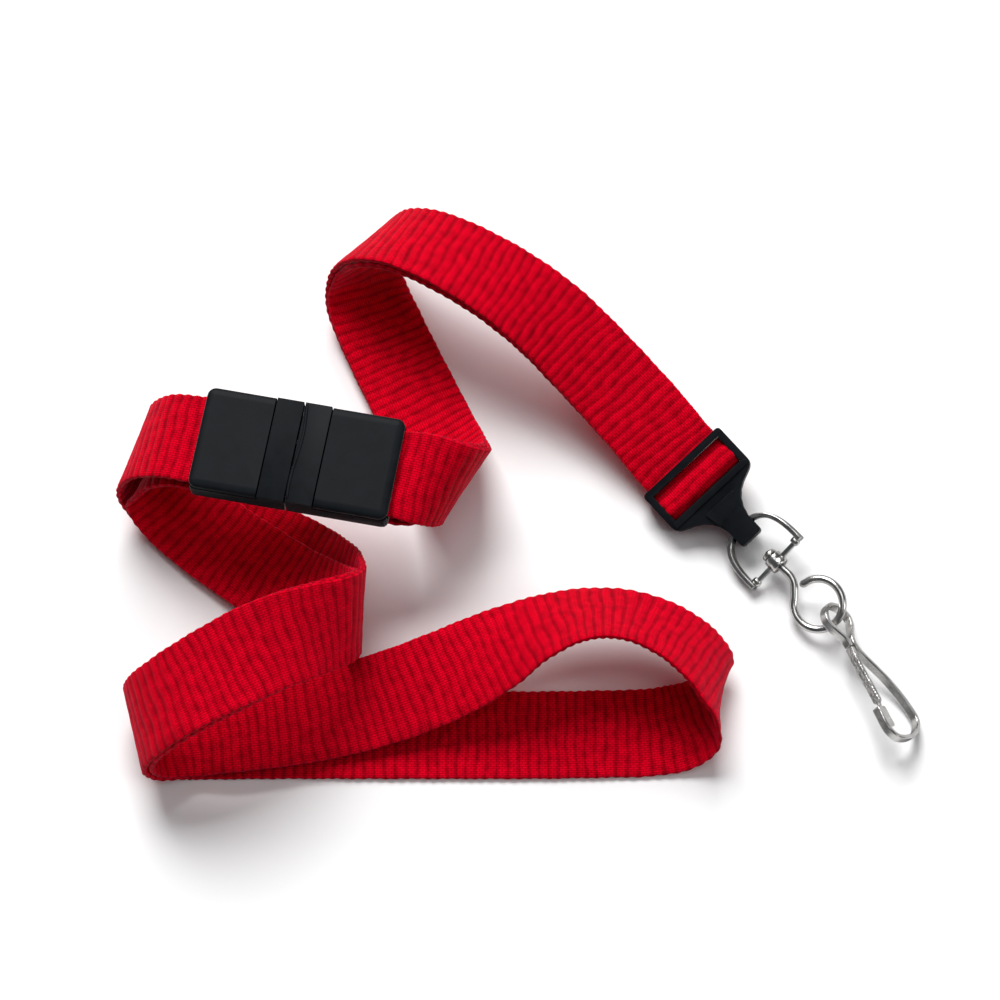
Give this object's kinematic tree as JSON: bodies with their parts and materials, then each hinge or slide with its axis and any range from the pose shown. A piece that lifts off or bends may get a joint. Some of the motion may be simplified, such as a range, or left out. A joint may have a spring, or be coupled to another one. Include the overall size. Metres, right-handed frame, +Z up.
{
  "type": "lanyard",
  "caption": "Flat webbing neck lanyard folded up on a table, with a breakaway buckle, a plastic slider, a D bail, a swivel eye and a spring hook.",
  "frame": {"origin": "middle of the base of the lanyard as it lies, on the table", "axes": "+X along the table from the folded curls to the hook, +Y away from the end loop, +Z up from the table"},
  "size_m": [0.1406, 0.1044, 0.0277],
  "materials": {
    "webbing": "ribbed woven webbing, matt",
    "black_plastic": "moulded, satin",
    "nickel": "bright nickel plate"
  },
  "bodies": {
    "lanyard": {"slider": "black_plastic", "webbing_slider_fold": "webbing", "webbing_front_strand": "webbing", "webbing_back_strand": "webbing", "webbing_buckle_tail": "webbing", "webbing_buckle_strand": "webbing", "webbing_end_loop": "webbing", "buckle_plug_shell": "black_plastic", "buckle_plug_cover": "black_plastic"},
    "socket_half": {"buckle_socket_shell": "black_plastic", "buckle_socket_cover": "black_plastic"},
    "bail": {"bail": "nickel"},
    "swivel_eye": {"swivel_eye": "nickel"},
    "hook": {"hook": "nickel"},
    "gate": {"hook_gate": "nickel"}
  },
  "joints": [
    {"name": "buckle_release", "type": "slide", "parent": "lanyard", "child": "socket_half", "axis": [-0.9832, 0.1824, -0.0001], "range_m": [0, 0.008], "deforming": ["webbing_buckle_tail"]},
    {"name": "bail_tilt", "type": "hinge", "parent": "lanyard", "child": "bail", "pos_m": [0.04013, -0.00521, 0.0041], "axis": [-0.7286, -0.6113, -0.309], "range_deg": [-75, 75]},
    {"name": "eye_swivel", "type": "hinge", "parent": "bail", "child": "swivel_eye", "pos_m": [0.04597, -0.01179, 0.00422], "axis": [0.664, -0.7476, 0.0134], "continuous": true},
    {"name": "hook_swing", "type": "hinge", "parent": "swivel_eye", "child": "hook", "pos_m": [0.05628, -0.02272, 0.00465], "axis": [-0.5831, -0.6768, -0.4494], "range_deg": [-60, 60]},
    {"name": "gate_press", "type": "hinge", "parent": "hook", "child": "gate", "pos_m": [0.05809, -0.02821, 0.0054], "axis": [0.5768, 0.2837, 0.766], "range_deg": [0, 14], "stiffness_Nm_per_rad": 0.004, "springref_deg": -2.86}
  ]
}
